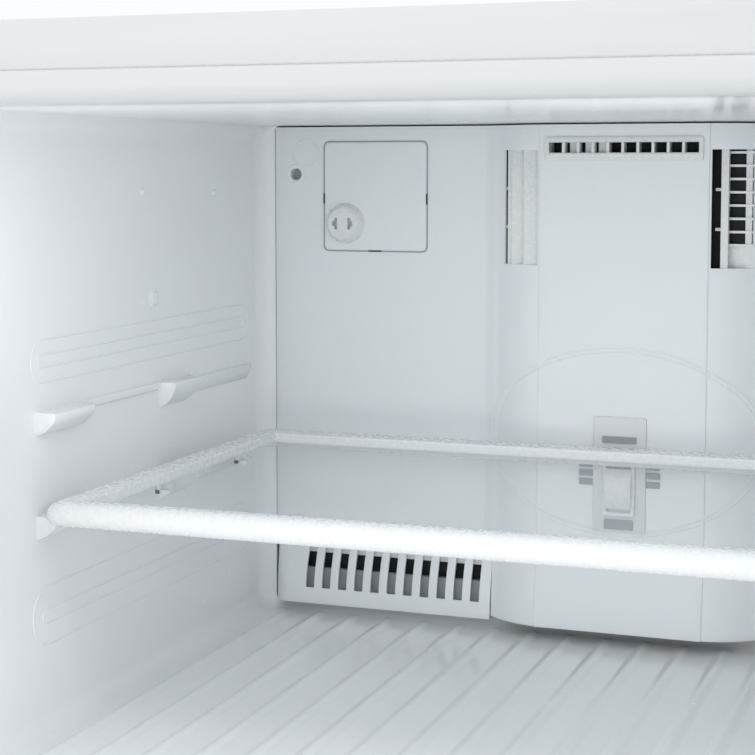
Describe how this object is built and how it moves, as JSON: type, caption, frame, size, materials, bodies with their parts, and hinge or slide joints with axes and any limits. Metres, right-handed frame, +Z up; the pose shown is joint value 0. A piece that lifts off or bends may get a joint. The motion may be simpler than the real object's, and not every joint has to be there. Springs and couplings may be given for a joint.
{
  "type": "top freezer refrigerator",
  "caption": "Upright two-door fridge with the freezer on top, shown with both doors open on glass shelves, drawers and a moulded cold air duct",
  "frame": {"origin": "on the floor under the middle of the cabinet footprint, without the doors", "axes": "+Z is up, the doors face -Y, +X is to the right of a person who faces the doors, where the hinges are"},
  "size_m": [1.3149, 1.2059, 1.698],
  "materials": {
    "white_enamel": "gloss white enamel",
    "galvanised": "plain zinc-coated sheet",
    "black_steel": "black enamel",
    "foam": "rigid foam",
    "liner_plastic": "gloss moulded liner",
    "cover_plastic": "satin moulded cover",
    "white_plastic": "white moulded trim",
    "grey_plastic": "grey moulded trim",
    "clear_plastic": "clear moulded plastic",
    "shelf_glass": "toughened glass",
    "label": "printed label",
    "gasket_rubber": "soft white seal",
    "black_rubber": "moulded rubber",
    "coil_metal": "bare fins and tube",
    "copper": "copper tube",
    "machine_board": "black board",
    "lamp_glass": "frosted bulb",
    "zinc_screw": "zinc-plated",
    "dark_plastic": "black plastic"
  },
  "bodies": {
    "cabinet": {"cabinet_shell": "white_enamel", "cabinet_back": "galvanised", "cabinet_foam": "foam", "base_frame": "galvanised", "freezer_liner": "liner_plastic", "fridge_liner": "liner_plastic", "evaporator_cover": "cover_plastic", "ice_maker_plate": "cover_plastic", "ice_maker_socket": "white_plastic", "top_air_grille": "white_plastic", "side_louvres": "white_plastic", "return_air_grille": "cover_plastic", "temperature_panel": "label", "evaporator_coil": "coil_metal", "evaporator_fan_motor": "dark_plastic", "defrost_heater": "coil_metal", "drain_trough": "coil_metal", "freezer_shelf_frame": "white_plastic", "freezer_shelf_glass": "shelf_glass", "fridge_shelf_frames": "white_plastic", "fridge_shelf_glasses": "shelf_glass", "fridge_control_housing": "white_plastic", "fridge_lamp": "lamp_glass", "compressor": "black_steel", "compressor_mounts": "black_rubber", "refrigerant_lines": "copper", "condenser_coil": "coil_metal", "condenser_fan_motor": "dark_plastic", "drain_pan": "dark_plastic", "machine_cover": "machine_board", "power_inlet": "dark_plastic", "levelling_legs": "galvanised", "toe_grille": "white_plastic", "top_hinge": "galvanised", "centre_hinge": "galvanised", "bottom_hinge": "galvanised", "hinge_cover": "white_plastic", "cabinet_screws": "zinc_screw"},
    "freezer_door": {"freezer_door_shell": "white_enamel", "freezer_door_foam": "foam", "freezer_door_liner": "liner_plastic", "freezer_door_gasket": "gasket_rubber", "freezer_door_handle": "white_plastic", "freezer_door_bins": "clear_plastic"},
    "fridge_door": {"fridge_door_shell": "white_enamel", "fridge_door_foam": "foam", "fridge_door_liner": "liner_plastic", "fridge_door_gasket": "gasket_rubber", "fridge_door_handle": "white_plastic", "fridge_door_bins": "clear_plastic"},
    "dairy_flap": {"dairy_lid": "clear_plastic"},
    "slider": {"temperature_slider": "white_plastic"},
    "cold_fan": {"evaporator_fan_blade": "dark_plastic"},
    "warm_fan": {"condenser_fan_blade": "dark_plastic"},
    "freezer_switch": {"freezer_door_switch": "white_plastic"},
    "fridge_switch": {"fridge_door_switch": "white_plastic"},
    "control_dial": {"fridge_control_dial": "grey_plastic"},
    "left_crisper": {"crisper_drawer_left": "clear_plastic"},
    "right_crisper": {"crisper_drawer_right": "clear_plastic"},
    "rollers": {"rear_rollers": "grey_plastic"}
  },
  "joints": [
    {"name": "freezer_door_hinge", "type": "hinge", "parent": "cabinet", "child": "freezer_door", "pos_m": [0.3575, -0.373, 1.2], "axis": [0, 0, 1], "range_deg": [-140, 10]},
    {"name": "fridge_door_hinge", "type": "hinge", "parent": "cabinet", "child": "fridge_door", "pos_m": [0.3575, -0.373, 0.13], "axis": [0, 0, 1], "range_deg": [-140, 10]},
    {"name": "dairy_lid_hinge", "type": "hinge", "parent": "fridge_door", "child": "dairy_flap", "pos_m": [0.60661, -0.63229, 1.0485], "axis": [-0.766, 0.6428, 0], "range_deg": [0, 60]},
    {"name": "left_crisper_slide", "type": "slide", "parent": "cabinet", "child": "left_crisper", "axis": [0, -1, 0], "range_m": [0, 0.24]},
    {"name": "right_crisper_slide", "type": "slide", "parent": "cabinet", "child": "right_crisper", "axis": [0, -1, 0], "range_m": [0, 0.24]},
    {"name": "temperature_slide", "type": "slide", "parent": "cabinet", "child": "slider", "axis": [0, 0, 1], "range_m": [-0.008, 0.006]},
    {"name": "control_dial_turn", "type": "hinge", "parent": "cabinet", "child": "control_dial", "pos_m": [-0.07, -0.24, 1.1157], "axis": [0, -1, 0], "range_deg": [-135, 135]},
    {"name": "freezer_switch_press", "type": "slide", "parent": "cabinet", "child": "freezer_switch", "axis": [0, 1, 0], "range_m": [0, 0.006], "stiffness_N_per_m": 300, "springref_m": -0.004},
    {"name": "fridge_switch_press", "type": "slide", "parent": "cabinet", "child": "fridge_switch", "axis": [0, 1, 0], "range_m": [0, 0.006], "stiffness_N_per_m": 300, "springref_m": -0.004},
    {"name": "cold_fan_spin", "type": "hinge", "parent": "cabinet", "child": "cold_fan", "pos_m": [0, 0.213, 1.465], "axis": [0, 1, 0], "continuous": true},
    {"name": "warm_fan_spin", "type": "hinge", "parent": "cabinet", "child": "warm_fan", "pos_m": [-0.007, 0.22, 0.134], "axis": [1, 0, 0], "continuous": true},
    {"name": "roller_spin", "type": "hinge", "parent": "cabinet", "child": "rollers", "pos_m": [0, 0.28, 0.02], "axis": [1, 0, 0], "continuous": true}
  ]
}
